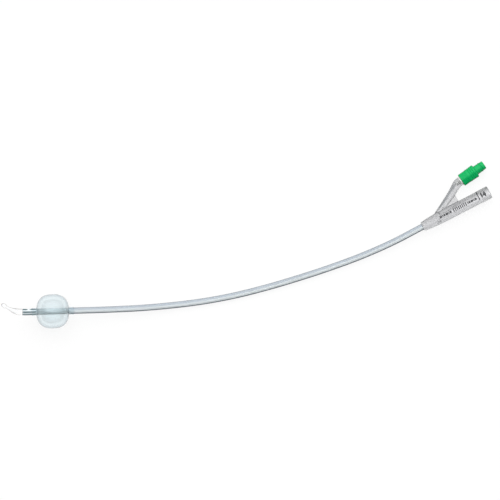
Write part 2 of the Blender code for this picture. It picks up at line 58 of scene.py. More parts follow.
# Light: the sky is brightest this far from straight above, towards the tip's side, and its levels run
# from the opposite direction to that one. The floor glows softly, as a light table does
LIGHT_LEAN = math.radians(30)
SKY_LEVELS = ((0.0, 0.05), (0.5, 0.1), (0.75, 0.3), (0.85, 1.0), (0.94, 3.0), (1.0, 3.4))
SKY_STRENGTH = 0.88
FLOOR_SIZE = 6
FLOOR_DROP = 0.02 * MM
FLOOR_GLOW = 0.87

# Route of the catheter's axis from inside the hub to the end of the tip, on the hub's own axes
HUB = Vector((126.9, -46.5, 5.05)) * MM
ROUTE = (
    (0.0150, 0.0000),
    (0.0000, 0.0000),
    (-0.0250, -0.0001),
    (-0.0520, 0.0016),
    (-0.0785, 0.0049),
    (-0.1046, 0.0092),
    (-0.1302, 0.0142),
    (-0.1552, 0.0202),
    (-0.1794, 0.0276),
    (-0.2030, 0.0364),
    (-0.2261, 0.0461),
    (-0.2487, 0.0566),
    (-0.2712, 0.0675),
    (-0.2864, 0.0749),
    (-0.2978, 0.0804),
    (-0.3068, 0.0849),
    (-0.3104, 0.0872),
    (-0.3130, 0.0899),
    (-0.3151, 0.0928),
    (-0.3169, 0.0957),
    (-0.3186, 0.0987),
    (-0.3200, 0.1013),
)
ROUTE_STEPS = 12
ROUTE_IN_HUB = 15.0 * MM
HUB_SAG = 80.0 * MM
BALLOON_LIFT = 125.0 * MM

# Sizes of the shaft and the balloon, with places counted from the hub's collar
SHAFT_START = -13.0 * MM
SHAFT_IN_HUB = 12.5 * MM
SHAFT_END = 322.8 * MM
SHAFT_R = 2.5 * MM
DRAIN_R = 1.4 * MM
DRAIN_ASIDE = 0.35 * MM
INFLATION_R = 0.35 * MM
INFLATION_ASIDE = -1.75 * MM
INFLATION_END = 306.3 * MM
EYE_AT = 318.0 * MM
EYE_LENGTH = 4.3 * MM
EYE_WIDTH = 2.1 * MM
PORT_AT = 305.1 * MM
PORT_R = 0.45 * MM
BALLOON_AT = 299.3 * MM
BALLOON_R = 13.35 * MM
BALLOON_HALF = 12.75 * MM
BALLOON_SQUARENESS = 2.5
BALLOON_WALL = 0.25 * MM
BALLOON_HEIGHT = 13.56 * MM
BONDING_R = 2.9 * MM
BONDING_LENGTH = 3.7 * MM
BONDING_FOOT = 0.3 * MM
BONDING_EDGE = 0.4 * MM
BONDING_THINNING = 0.12 * MM
BALLOON_STEPS = 72

# Painted light and shade on the tube: round the eye the tube's painted tone is the one at this place
# across it, in the balloon its tone is mixed this much with a pale painted light, and past this place
# its walls and septum carry painted dark outlines. Film no further than this beyond the bands' radius
# counts as bonded
EYE_SHADE_ACROSS = 0.5
BALLOON_PAINTED_LIGHT = 0.85
PAST_BALLOON = BALLOON_AT + BALLOON_HALF - 1.0 * MM
BONDED_FILM = 0.5 * MM

# Tip: tapered, ending in a small olive, with a spigot in the shaft's drain lumen
TIP_STRAIGHT = 3.6 * MM
TIP_TAPER = 9.8 * MM
NECK_R = 1.05 * MM
OLIVE_R = 1.75 * MM
OLIVE_HALF = 2.4 * MM
TIP_FULLNESS = 1.4
TIP_STEPS = 40
OLIVE_STEPS = 12
SEAT_GAP = 0.1 * MM
SPIGOT = 2.2 * MM

# Hub, with places counted from its collar
COLLAR_R = 3.7 * MM
COLLAR_EDGE = 0.15 * MM
WAIST_AT = 20.5 * MM
WAIST_R = 4.85 * MM
WAIST_STEPS = 10
FUNNEL_STEP = 49.0 * MM
FUNNEL_STEP_R = 4.9 * MM
FUNNEL_STEP_LENGTH = 0.8 * MM
FUNNEL_END = 58.7 * MM
MOUTH_R = 5.05 * MM
MOUTH_ROUNDING = 0.7 * MM
SKIN_VOXEL = 0.22 * MM
SKIN_SOFTENING = 8

# How far a cutter runs past what it cuts
PAST = 0.5 * MM

# Places and radii of the drain's way through the hub, from the shaft's end to the rounded mouth
DRAIN_WAY = (
    (SHAFT_IN_HUB, DRAIN_R),
    (20.0 * MM, 1.6 * MM),
    (32.7 * MM, 3.1 * MM),
    (FUNNEL_END - 0.35 * MM, 3.7 * MM),
    (FUNNEL_END, 3.95 * MM),
    (FUNNEL_END + PAST, 4.2 * MM),
)
SOCKET_END = 13.1 * MM

# Inflation arm, its web, and the channel that passes under the drain's way and rises into the arm
ARM_ROUTE = (
    (0.0060, 0.0004, 0),
    (0.0115, 0.0022, 0),
    (0.0165, 0.0046, 0),
    (0.0214, 0.0071, 0),
    (0.0290, 0.0110, 0),
    (0.0340, 0.0138, 0),
    (0.0373, 0.0159, 0),
)
ARM_ROOT_R = 1.5 * MM
ARM_END_R = 3.55 * MM
ARM_END = -1.3 * MM
ARM_STRAIGHT = 1.8 * MM
# Half-width of the painted light and shade across the arm
ARM_SHADE_R = 3.0 * MM
ARM_BORE_START = -5.3 * MM
ARM_BORE_END = -0.8 * MM
ARM_BORE_R = 1.7 * MM
WEB_CORNERS = ((0.0165, 0.0023), (0.0341, 0.0023), (0.0336, 0.0138), (0.0214, 0.0071))
WEB_THICKNESS = 1.1 * MM
CHANNEL_R = 0.45 * MM
CHANNEL_END = -4.8 * MM
CHANNEL_ROUTE = (
    (0.0138, -0.00195, -0.0010),
    (0.0149, -0.0010, -0.0025),
    (0.0159, 0.0009, -0.00285),
    (0.0169, 0.0025, -0.0018),
    (0.0182, 0.0037, -0.0007),
    (0.0202, 0.0056, -0.0001),
    (0.0230, 0.0079, 0),
)

# Plain marks printed on the funnel: two rows of dashes, a row of ticks, a line and the gauge number.
# Dashes and ticks have their places and lengths in millimetres, the line its middle, width and height
DASH_ROWS = ((15.0, 25.2), (39.2, 47.2))
DASH_LENGTHS = (1.9, 0.8, 1.3, 2.2, 0.6)
DASH_GAP = 0.35
DASH_ACROSS = 0.2 * MM
DASH_HEIGHT = 1.6 * MM
TICKS = 8
FIRST_TICK = 27.3
TICK_PITCH = 1.5
TICK_ACROSS = 0.3 * MM
TICK_WIDTH = 0.75 * MM
TICK_HEIGHT = 3.0 * MM
CROSS_LINE = (49.0 * MM, 1.4 * MM, 0.7 * MM, 7.0 * MM)
NUMBER_AT = (50.6 * MM, -0.9 * MM, 0)
NUMBER_SIZE = 4.6 * MM
NUMBER_BOLDNESS = 0.36 * MM
NUMBER_CUTS = 3
PRINT_LIFT = 0.03 * MM
PRINT_SPACING = 0.3 * MM
PRINT_THICKNESS = 0.02 * MM

# The valve's axis, and its housing, with places counted along the axis from the housing's rear face
VALVE = HUB + Vector((43.4, 18.0, 0)) * MM
VALVE_TURN = math.radians(7.5)
VALVE_LENGTH = 21.5 * MM
SKIRT_END = 6.2 * MM
GRIP_END = 13.7 * MM
HOUSING_WIDTH = 9.3 * MM
HOUSING_HEIGHT = 8.9 * MM
HOUSING_CORNER = 1.3 * MM
CORNER_SEGMENTS = 8
SKIRT_GROWTH = 0.35 * MM
GRIP_STEP = 0.15 * MM
GRIP_FLARE = 0.35 * MM
SHOULDER = 1.1 * MM
GROOVES = 3
GROOVE_HALF = 0.45 * MM
GROOVE_FORM = ((-1, 0), (-0.7, 0.1), (-0.35, 0.25), (0.35, 0.25), (0.7, 0.1), (1, 0))
NOZZLE_ROOT = 10.0 * MM
NOZZLE_ROOT_R = 3.7 * MM
NOZZLE_R = 3.3 * MM
NOZZLE_ROUNDING = 0.4 * MM
THREAD_LEAD = 5.0 * MM
THREAD_SWEEP = math.radians(150)
THREAD_R = 0.55 * MM
THREAD_SUNK = 0.05 * MM
THREAD_FROM_MOUTH = 1.1 * MM
THREAD_STEPS = 40

# Places and radii of the housing's bore: chamber, seat, guide and the mouth's cone
HOUSING_BORE = (
    (-PAST, 2.8 * MM),
    (11.7 * MM, 2.8 * MM),
    (11.7 * MM, 1.25 * MM),
    (14.0 * MM, 1.25 * MM),
    (14.0 * MM, 1.925 * MM),
    (VALVE_LENGTH - 0.25 * MM, 2.14 * MM),
    (VALVE_LENGTH, 2.3 * MM),
    (VALVE_LENGTH + PAST, 2.6 * MM),
)

# Barbed insert
INSERT_END = -5.2 * MM
INSERT_BORE_R = 0.6 * MM
INSERT_STEM_R = 1.25 * MM
BARBS = 2
BARB_R = 1.6 * MM
BARB_PITCH = 2.0 * MM
BARB_RIDGE = 1.5 * MM

# Places and radii of the insert's flange and of its plug in the housing
INSERT_FRONT = (
    (-1.2 * MM, INSERT_STEM_R),
    (-1.2 * MM, 3.6 * MM),
    (-1.1 * MM, 3.7 * MM),
    (-0.2 * MM, 3.7 * MM),
    (-0.1 * MM, 3.6 * MM),
    (-0.1 * MM, 2.7 * MM),
    (3.9 * MM, 2.7 * MM),
    (3.9 * MM, INSERT_BORE_R),
)

# Places and radii of the plunger's peg and flange, and the ribs of its stem
PLUNGER_FORM = (
    (8.2 * MM, 0),
    (8.2 * MM, 0.75 * MM),
    (8.35 * MM, 0.9 * MM),
    (9.7 * MM, 0.9 * MM),
    (9.7 * MM, 2.05 * MM),
    (9.75 * MM, 2.1 * MM),
    (10.45 * MM, 2.1 * MM),
    (10.5 * MM, 2.05 * MM),
    (10.5 * MM, 0),
)
RIB_MIDDLE = 13.25 * MM
RIB_SIZE = (6.9 * MM, 2.2 * MM, 0.7 * MM)
RIB_EDGE = 0.08 * MM
RIB_EDGE_SEGMENTS = 3

# Seal and spring
SEAL_REAR = 10.6 * MM
SEAL_FRONT = 11.6 * MM
SEAL_BORE_R = 1.2 * MM
SEAL_FACE_R = 2.05 * MM
SEAL_ROUNDING = 0.25 * MM
SPRING_START = 4.18 * MM
SPRING_END = 9.42 * MM
SPRING_R = 1.4 * MM
SPRING_TURNS = 5.5
SPRING_STEPS = 180
WIRE_R = 0.18 * MM

# How finely round and bent forms are divided
RING_SPACING = 2.5 * MM
ROUND_STEPS = 5
SHAFT_SIDES = 48
LUMEN_SIDES = 32
FINE_LUMEN_SIDES = 12
EYE_SIDES = 40
PORT_SIDES = 20
BALLOON_SIDES = 96
HUB_SIDES = 96
DRAIN_SIDES = 72
BORE_SIDES = 40
NOZZLE_SIDES = 72
INSERT_SIDES = 64
PLUNGER_SIDES = 48
ARM_FINENESS = 12
CHANNEL_FINENESS = 3
WIRE_FINENESS = 4
SMOOTH_ANGLE = math.radians(35)

# How much silicone bends light, and how little it does where two pieces of it are bonded
SILICONE_IOR = 1.41
BONDED_IOR = 1.08


def deselect():
    """Nothing selected, and no piece open in edit mode."""
    if bpy.context.object and bpy.context.object.mode != "OBJECT":
        bpy.ops.object.mode_set(mode="OBJECT")
    bpy.ops.object.select_all(action="DESELECT")


def pick(obj):
    """Only this piece selected, and active."""
    deselect()
    obj.select_set(True)
    bpy.context.view_layer.objects.active = obj


def apply_modifiers(obj):
    """Applies the piece's modifiers in their order."""
    pick(obj)
    for modifier in list(obj.modifiers):
        bpy.ops.object.modifier_apply(modifier=modifier.name)


def settle(obj):
    """Puts the piece's place into its mesh."""
    pick(obj)
    bpy.ops.object.transform_apply(location=True, rotation=True, scale=True)


def cut(obj, cutter, operation="DIFFERENCE"):
    """Cuts or joins with another piece, which is used up."""
    modifier = obj.modifiers.new("cut", "BOOLEAN")
    modifier.operation = operation
    modifier.solver = "EXACT"
    modifier.object = cutter
    apply_modifiers(obj)
    bpy.data.objects.remove(cutter, do_unlink=True)


def smooth_off(obj):
    """Shades the piece smooth up to its real edges."""
    pick(obj)
    bpy.ops.object.shade_smooth_by_angle(angle=SMOOTH_ANGLE)


def turned(name, outline, sides, closed=False):
    """An outline of places along X and radii, drawn point by point and spun about X."""
    points = [Vector((x, r, 0)) for x, r in outline]
    obj = draw_line(name, points + points[:1] if closed else points)
    bpy.ops.mesh.spin(steps=sides, angle=2 * math.pi, center=(0, 0, 0), axis=(1, 0, 0))
    bpy.ops.mesh.select_all(action="SELECT")
    bpy.ops.mesh.remove_doubles(threshold=TINY / 10)
    face_outwards()
    return obj


def draw_line(name, points):
    """A new piece with a line from each of these points to the next, left selected in edit mode."""
    deselect()
    bpy.ops.mesh.primitive_plane_add(size=TINY)
    obj = bpy.context.object
    obj.name = name
    bpy.ops.object.mode_set(mode="EDIT")
    bpy.ops.mesh.merge(type="CENTER")
    bpy.ops.transform.translate(value=points[0])
    for a, b in zip(points, points[1:]):
        extrude_by(b - a)
    bpy.ops.mesh.select_all(action="SELECT")
    return obj


def extrude_by(way):
    """Extrudes what is selected in edit mode."""
    bpy.ops.mesh.extrude_region_move(TRANSFORM_OT_translate={"value": way})


def face_outwards():
    """Turns all faces of the piece in edit mode outwards and leaves edit mode."""
    bpy.ops.mesh.select_all(action="SELECT")
    bpy.ops.mesh.normals_make_consistent(inside=False)
    bpy.ops.object.mode_set(mode="OBJECT")


def rod(name, start, end, radius, sides, aside=0.0):
    """A straight rod along X with flat ends."""
    deselect()
    bpy.ops.mesh.primitive_cylinder_add(
        vertices=sides, radius=radius, depth=end - start,
        location=((start + end) / 2, -aside, 0), rotation=(0, math.pi / 2, 0),
    )
    obj = bpy.context.object
    obj.name = name
    settle(obj)
    return obj


def quarter_turn(steps):
    """Even angles from nothing to a right one."""
    return [math.pi / 2 * i / steps for i in range(steps + 1)]


def rounded(place, radius, size):
    """Outline points of a rounded outer edge that ends at this place."""
    return [
        (place - size + size * math.sin(angle), radius - size + size * math.cos(angle))
        for angle in quarter_turn(ROUND_STEPS)
    ]


# Route of the catheter over the floor


def smooth(points):
    """Fine points of a smooth curve through these, bent at each by how near its neighbours are."""
    points = [Vector(p).to_3d() for p in points]
    gaps = [(b - a).length for a, b in zip(points, points[1:])]
    slopes = [(b - a) / gap for a, b, gap in zip(points, points[1:], gaps)]
    tangents = [slopes[0]]
    for i in range(1, len(slopes)):
        weighed = gaps[i] * slopes[i - 1] + gaps[i - 1] * slopes[i]
        tangents.append(weighed / (gaps[i - 1] + gaps[i]))
    tangents.append(slopes[-1])
    fine = points[:1]
    for i, gap in enumerate(gaps):
        start, end = points[i:i + 2]
        handles = (start + gap / 3 * tangents[i], end - gap / 3 * tangents[i + 1])
        fine += interpolate_bezier(start, *handles, end, ROUTE_STEPS + 1)[1:]
    return fine


def rest_height(place):
    """Height of the axis, which is held up at the hub, sags to the floor and is lifted by the
    balloon."""
    sag = min(max(place / HUB_SAG, 0), 1)
    near = (HUB.z - SHAFT_R) * (1 - sag * sag * (3 - 2 * sag))
    lift = max(1 + (place - BALLOON_AT) / BALLOON_LIFT, 0)
    far = lift * lift * (3 - lift) / 2 if lift < 1 else 1 + 1.5 * (lift - 1)
    return SHAFT_R + near + (BALLOON_HEIGHT - SHAFT_R) * far


def with_places(points, start):
    """These points, each with its place along their line, which begins at this one."""
    place = start
    placed = []
    for i, point in enumerate(points):
        if i:
            place += (point - points[i - 1]).length
        placed.append((place, point))
    return placed


def lay_route():
    """Fine points of the axis in space."""
    return [
        Vector((HUB.x + point.x, HUB.y + point.y, rest_height(place)))
        for place, point in with_places(smooth(ROUTE), -ROUTE_IN_HUB)
    ]


def shaft_line(points):
    """The part of the route that the shaft takes up, from inside the hub to the tip."""
    return [
        tuple(point) for place, point in with_places(points, -ROUTE_IN_HUB)
        if SHAFT_START < place < SHAFT_END
    ]


def guide_curve(points):
    """The route as a curve that straight pieces are bent along."""
    guide = line_curve("route_guide", points)
    guide.data.twist_mode = "Z_UP"
    guide.data.use_deform_bounds = False
    return guide


def line_curve(name, points):
    """A curve object that runs straight from each of these points to the next."""
    curve = bpy.data.curves.new(name, "CURVE")
    curve.dimensions = "3D"
    spline = curve.splines.new("POLY")
    spline.points.add(len(points) - 1)
    for target, point in zip(spline.points, points):
        target.co = (*point, 1)
    obj = bpy.data.objects.new(name, curve)
    bpy.context.scene.collection.objects.link(obj)
    return obj


def bend_along(obj, guide):
    """Bends a piece made straight along X, whose zero is the hub's collar, along the route."""
    pick(obj)
    bpy.ops.object.mode_set(mode="EDIT")
    bpy.ops.mesh.select_all(action="SELECT")
    bpy.ops.transform.translate(value=(ROUTE_IN_HUB, 0, 0))
    bpy.ops.object.mode_set(mode="OBJECT")
    modifier = obj.modifiers.new("bend", "CURVE")
    modifier.object = guide
    modifier.deform_axis = "POS_X"
    apply_modifiers(obj)


# Shaft, tip and balloon


def model_shaft():
    """Draws the two-lumen section, extrudes it past the inflation lumen's end and on to the tip."""
    deselect()
    rings = (
        (SHAFT_R, 0.0, SHAFT_SIDES),
        (DRAIN_R, DRAIN_ASIDE, LUMEN_SIDES),
        (INFLATION_R, INFLATION_ASIDE, FINE_LUMEN_SIDES),
    )
    for radius, aside, sides in rings:
        bpy.ops.mesh.primitive_circle_add(
            vertices=sides, radius=radius,
            location=(SHAFT_START, -aside, 0), rotation=(0, math.pi / 2, 0),
        )
        if radius == SHAFT_R:
            shaft = bpy.context.object
            bpy.ops.object.mode_set(mode="EDIT")
    bpy.ops.object.mode_set(mode="OBJECT")
    shaft.name = "catheter_shaft"
    settle(shaft)
    bpy.ops.object.mode_set(mode="EDIT")
    bpy.ops.mesh.select_all(action="SELECT")
    bpy.ops.mesh.fill()
    extrude_by((INFLATION_END - SHAFT_START, 0, 0))
    close_loop(shaft, INFLATION_END)
    select_end_faces(shaft, INFLATION_END)
    extrude_by((SHAFT_END - INFLATION_END, 0, 0))
    close_loop(shaft, INFLATION_END)
    divide_lengthways(shaft, INFLATION_END - SHAFT_START)
    divide_lengthways(shaft, SHAFT_END - INFLATION_END)
    bpy.ops.mesh.select_mode(type="VERT")
    face_outwards()
    eye = (EYE_AT, -DRAIN_ASIDE, -SHAFT_R - PAST, EYE_LENGTH, EYE_WIDTH, EYE_SIDES)
    port = (PORT_AT, -INFLATION_ASIDE, SHAFT_R + PAST, 2 * PORT_R, 2 * PORT_R, PORT_SIDES)
    cut(shaft, side_hole(*eye))
    cut(shaft, side_hole(*port))
    note_painted_bands(shaft)
    return shaft


def note_painted_bands(shaft):
    """Keeps where each point lies across the straight shaft, from the inflation lumen's side at -1 to
    1, for the painted bands of light and shade, how far past the balloon it is and whether it is in
    it.
    The wall is pale round the eye, where the painted dark outline is left off, and inside the balloon
    it is painted pale, as light spread by the film."""
    def across_at(p):
        share = -p.y / SHAFT_R
        return EYE_SHADE_ACROSS if abs(p.x - EYE_AT) < EYE_LENGTH / 2 and share > EYE_SHADE_ACROSS else share

    note(shaft, "across", across_at)
    note(shaft, "past_balloon", lambda p: min(max((p.x - PAST_BALLOON) / MM, 0), 1))
    note(shaft, "painted_light_in_balloon", lambda p: BALLOON_PAINTED_LIGHT if abs(p.x - BALLOON_AT) < BALLOON_HALF else 0.0)


def note(obj, name, value):
    """Keeps a value for each point of the mesh, for its finish to read."""
    kept = obj.data.attributes.new(name, "FLOAT", "POINT")
    kept.data.foreach_set("value", [value(v.co) for v in obj.data.vertices])


def close_loop(shaft, place):
    """Fills the inflation lumen's edge at this place."""
    def on_loop(v):
        across = math.hypot(v.co.y + INFLATION_ASIDE, v.co.z)
        return abs(v.co.x - place) < TINY and across < INFLATION_R + TINY
    select_points(shaft, on_loop)
    bpy.ops.mesh.edge_face_add()


def divide_lengthways(shaft, length):
    """Divides the edges of this length, which run lengthways, so that the shaft can bend."""
    select_edges(shaft, lambda span: abs(abs(span.x) - length) < TINY)
    bpy.ops.mesh.subdivide(number_cuts=int(length / RING_SPACING))


def select_points(obj, wanted):
    """Selects the points that meet a rule, in edit mode."""
    bpy.ops.mesh.select_mode(type="VERT")
    bpy.ops.mesh.select_all(action="DESELECT")
    bpy.ops.object.mode_set(mode="OBJECT")
    for v in obj.data.vertices:
        v.select = wanted(v)
    bpy.ops.object.mode_set(mode="EDIT")


def select_edges(obj, wanted):
    """Selects the edges whose span from end to end meets a rule, in edit mode."""
    bpy.ops.mesh.select_mode(type="EDGE")
    bpy.ops.mesh.select_all(action="DESELECT")
    bpy.ops.object.mode_set(mode="OBJECT")
    for edge in obj.data.edges:
        a, b = (obj.data.vertices[i].co for i in edge.vertices)
        edge.select = wanted(b - a)
    bpy.ops.object.mode_set(mode="EDIT")


def select_end_faces(obj, place):
    """Selects the faces that close the piece at this place, in edit mode."""
    bpy.ops.mesh.select_mode(type="FACE")
    bpy.ops.mesh.select_all(action="DESELECT")
    bpy.ops.object.mode_set(mode="OBJECT")
    for face in obj.data.polygons:
        face.select = face.center.x > place - TINY and abs(face.normal.x) > 0.9
    bpy.ops.object.mode_set(mode="EDIT")


def side_hole(place, start, end, length, width, sides):
    """An oval plug that runs out sideways along Y."""
    deselect()
    bpy.ops.mesh.primitive_cylinder_add(
        vertices=sides, radius=0.5, depth=1, location=(place, (start + end) / 2, 0),
        rotation=(math.pi / 2, 0, 0), scale=(length, width, abs(end - start)),
    )
    plug = bpy.context.object
    settle(plug)
    return plug


def tip_outline():
    """Straight out of the joint, tapering to the neck, then the olive."""
    joint = SHAFT_END + SEAT_GAP
    middle = TIP_STRAIGHT + TIP_TAPER + OLIVE_HALF * math.sqrt(1 - (NECK_R / OLIVE_R) ** 2)
    outline = [(joint, 0.0), (joint, SHAFT_R - TINY), (joint + TINY, SHAFT_R)]
    for i in range(1, TIP_STEPS):
        place = middle * i / TIP_STEPS
        share = min(max((place - TIP_STRAIGHT) / TIP_TAPER, 0), 1)
        taper = SHAFT_R - (SHAFT_R - NECK_R) * math.sin(share * math.pi / 2) ** TIP_FULLNESS
        along = (place - middle) / OLIVE_HALF
        olive = OLIVE_R * math.sqrt(max(1 - along * along, 0))
        outline.append((joint + place, max(taper, olive)))
    for angle in quarter_turn(OLIVE_STEPS):
        place = joint + middle + OLIVE_HALF * math.sin(angle)
        outline.append((place, OLIVE_R * math.cos(angle)))
    return outline


def model_tip():
    """The solid tip with the spigot that sits in the shaft's drain lumen."""
    tip = turned("drainage_tip", tip_outline(), SHAFT_SIDES)
    start = SHAFT_END - SPIGOT
    spigot_r = DRAIN_R - SEAT_GAP
    spigot = rod("spigot", start, SHAFT_END + PAST, spigot_r, LUMEN_SIDES, DRAIN_ASIDE)
    cut(tip, spigot, "UNION")
    return tip


def balloon_bulge():
    """Places and radii of the bulge, a squarish oval, where it stands clear of its bonded bands."""
    bulge = []
    for i in range(2, BALLOON_STEPS - 1):
        angle = math.pi * i / BALLOON_STEPS
        blunt = 2 / BALLOON_SQUARENESS
        place = -BALLOON_HALF * math.copysign(abs(math.cos(angle)) ** blunt, math.cos(angle))
        radius = BALLOON_R * math.sin(angle) ** blunt
        if radius > BONDING_R:
            bulge.append((BALLOON_AT + place, radius))
    return bulge


def model_balloon():
    """A blown sleeve of thin film with a bonded band at each end."""
    start = BALLOON_AT - BALLOON_HALF
    end = BALLOON_AT + BALLOON_HALF
    outline = [
        (start - BONDING_LENGTH, BONDING_R - BONDING_THINNING),
        (start - BONDING_LENGTH + BONDING_EDGE, BONDING_R),
        (start - BONDING_FOOT, BONDING_R),
        *balloon_bulge(),
        (end + BONDING_FOOT, BONDING_R),
        (end + BONDING_LENGTH - BONDING_EDGE, BONDING_R),
        (end + BONDING_LENGTH, BONDING_R - BONDING_THINNING),
    ]
    balloon = turned("retention_balloon", outline, BALLOON_SIDES)
    wall = balloon.modifiers.new("film", "SOLIDIFY")
    wall.thickness = BALLOON_WALL
    wall.offset = -1
    apply_modifiers(balloon)
    note(balloon, "bonded", lambda p: float(math.hypot(p.y, p.z) < BONDING_R + BONDED_FILM))
    return balloon


# The hub: funnel, arm and web in one moulding


def hub_outline():
    """Collar, waist, funnel and its rounded mouth."""
    outline = [(0, 0), (0, COLLAR_R - COLLAR_EDGE), (COLLAR_EDGE, COLLAR_R)]
    for i in range(1, WAIST_STEPS + 1):
        share = i / WAIST_STEPS
        radius = COLLAR_R + (WAIST_R - COLLAR_R) * share * (2 - share)
        outline.append((WAIST_AT * share, radius))
    outline += [(FUNNEL_STEP, FUNNEL_STEP_R), (FUNNEL_STEP + FUNNEL_STEP_LENGTH, MOUTH_R)]
    return outline + rounded(FUNNEL_END, MOUTH_R, MOUTH_ROUNDING) + [(FUNNEL_END, 0)]


def model_hub():
    """Joins the outer forms under one soft skin, then cuts the ways through them."""
    hub = turned("funnel_hub", hub_outline(), HUB_SIDES)
    cut(hub, arm_form(), "UNION")
    cut(hub, web_form(), "UNION")
    skin = hub.modifiers.new("skin", "REMESH")
    skin.mode = "VOXEL"
    skin.voxel_size = SKIN_VOXEL
    soften = hub.modifiers.new("soften", "SMOOTH")
    soften.factor = 0.5
    soften.iterations = SKIN_SOFTENING
    apply_modifiers(hub)
    place_on(hub, HUB, 0)
    cut(hub, drain_way())
    lumen = rod("lumen", -PAST, SOCKET_END, DRAIN_R - TINY, LUMEN_SIDES, DRAIN_ASIDE)
    place_on(lumen, HUB, 0)
    cut(hub, lumen)
    arm_bore = rod("arm_bore", ARM_BORE_START, ARM_BORE_END, ARM_BORE_R, BORE_SIDES)
    place_on(arm_bore, VALVE, VALVE_TURN)
    cut(hub, arm_bore)
    channel = swept("channel", channel_line(), CHANNEL_R, CHANNEL_R, CHANNEL_FINENESS)
    place_on(channel, HUB, 0)
    cut(hub, channel)
    return hub


def channel_line():
    """The inflation channel's way: under the drain passage, then up into the arm."""
    shaft_end = (SHAFT_IN_HUB, INFLATION_ASIDE, 0)
    return smooth((shaft_end, *CHANNEL_ROUTE, *ARM_ROUTE[4:6], valve_point(CHANNEL_END)))


def valve_point(place):
    """A point of the valve's axis, on the hub's axes."""
    along = Vector((math.cos(VALVE_TURN), math.sin(VALVE_TURN), 0))
    return VALVE - HUB + place * along


def arm_form():
    """The arm as a swept tube that grows from the funnel to the valve."""
    points = smooth((*ARM_ROUTE, valve_point(ARM_END - ARM_STRAIGHT), valve_point(ARM_END)))
    return swept("arm", points, ARM_ROOT_R, ARM_END_R, ARM_FINENESS)


def swept(name, points, start_r, end_r, resolution):
    """A round bar along these points, growing evenly from one radius to the other."""
    obj = line_curve(name, points)
    obj.data.bevel_depth = 1.0
    obj.data.bevel_resolution = resolution
    obj.data.use_fill_caps = True
    placed = with_places(points, 0.0)
    length = placed[-1][0]
    for target, (place, _) in zip(obj.data.splines[0].points, placed):
        target.radius = start_r + (end_r - start_r) * place / length
    pick(obj)
    bpy.ops.object.convert(target="MESH")
    obj = bpy.context.object
    bpy.ops.object.mode_set(mode="EDIT")
    bpy.ops.mesh.select_all(action="SELECT")
    bpy.ops.mesh.remove_doubles(threshold=TINY / 10)
    face_outwards()
    return obj


def web_form():
    """The thin web that bridges the crotch between arm and funnel."""
    points = [Vector((x, y, -WEB_THICKNESS / 2)) for x, y in WEB_CORNERS]
    web = draw_line("web", points + points[:1])
    bpy.ops.mesh.remove_doubles(threshold=TINY / 10)
    bpy.ops.mesh.edge_face_add()
    extrude_by((0, 0, WEB_THICKNESS))
    face_outwards()
    return web


def drain_way():
    """The way from the shaft's drain lumen to the funnel's tapered mouth."""
    way = turned("drain_way", closed_to_axis(DRAIN_WAY), DRAIN_SIDES)
    place_on(way, HUB, 0)
    return way


def closed_to_axis(outline):
    """This outline with a point on the axis at each end, so that it spins into a solid."""
    return [(outline[0][0], 0), *outline, (outline[-1][0], 0)]


# The print on the funnel


def print_marks():
    """Middle, length and height of each plain mark, on the hub's axes."""
    marks = []
    for first, last in DASH_ROWS:
        place = first
        while place < last:
            length = min(DASH_LENGTHS[len(marks) % len(DASH_LENGTHS)], last - place)
            marks.append(((place + length / 2) * MM, DASH_ACROSS, length * MM, DASH_HEIGHT))
            place += length + DASH_GAP
    for i in range(TICKS):
        place = FIRST_TICK + TICK_PITCH * i
        marks.append((place * MM, TICK_ACROSS, TICK_WIDTH, TICK_HEIGHT))
    return marks + [CROSS_LINE]


def model_print(hub):
    """Thin ink laid on the hub's surface from above."""
    marks = [gauge_number()]
    for x, y, length, height in print_marks():
        deselect()
        bpy.ops.mesh.primitive_grid_add(
            x_subdivisions=max(int(length / PRINT_SPACING), 1),
            y_subdivisions=max(int(height / PRINT_SPACING), 1), size=1,
        )
        mark = bpy.context.object
        mark.scale = (length, height, 1)
        mark.location = (x, y, 0)
        marks.append(mark)
    ink = marks[-1]
    deselect()
    for mark in marks:
        mark.select_set(True)
    bpy.context.view_layer.objects.active = ink
    bpy.ops.object.transform_apply(location=True, rotation=True, scale=True)
    bpy.ops.object.join()
    ink.name = "funnel_print"
    place_on(ink, HUB + Vector((0, 0, 2 * MOUTH_R)), 0)
    lay = ink.modifiers.new("lay", "SHRINKWRAP")
    lay.target = hub
    lay.wrap_method = "PROJECT"
    lay.use_project_z = True
    lay.use_negative_direction = True
    lay.use_positive_direction = False
    lay.offset = PRINT_LIFT
    wall = ink.modifiers.new("wall", "SOLIDIFY")
    wall.thickness = PRINT_THICKNESS
    wall.offset = 1
    apply_modifiers(ink)
    return ink


def gauge_number():
    """The French gauge that the green valve stands for, as a plain number."""
    deselect()
    bpy.ops.object.text_add(location=NUMBER_AT)
    number = bpy.context.object
    number.data.body = "14"
    number.data.size = NUMBER_SIZE
    number.data.offset = NUMBER_BOLDNESS
    bpy.ops.object.convert(target="MESH")
    settle(number)
    bpy.ops.object.mode_set(mode="EDIT")
    bpy.ops.mesh.select_all(action="SELECT")
    bpy.ops.mesh.subdivide(number_cuts=NUMBER_CUTS)
    bpy.ops.object.mode_set(mode="OBJECT")
    return number


def place_on(obj, point, turn):
    """Moves a piece made on its own axis to that point and turn of the hub."""
    obj.matrix_world = Matrix.Translation(point) @ Matrix.Rotation(turn, 4, "Z")
    settle(obj)


# The inflation valve


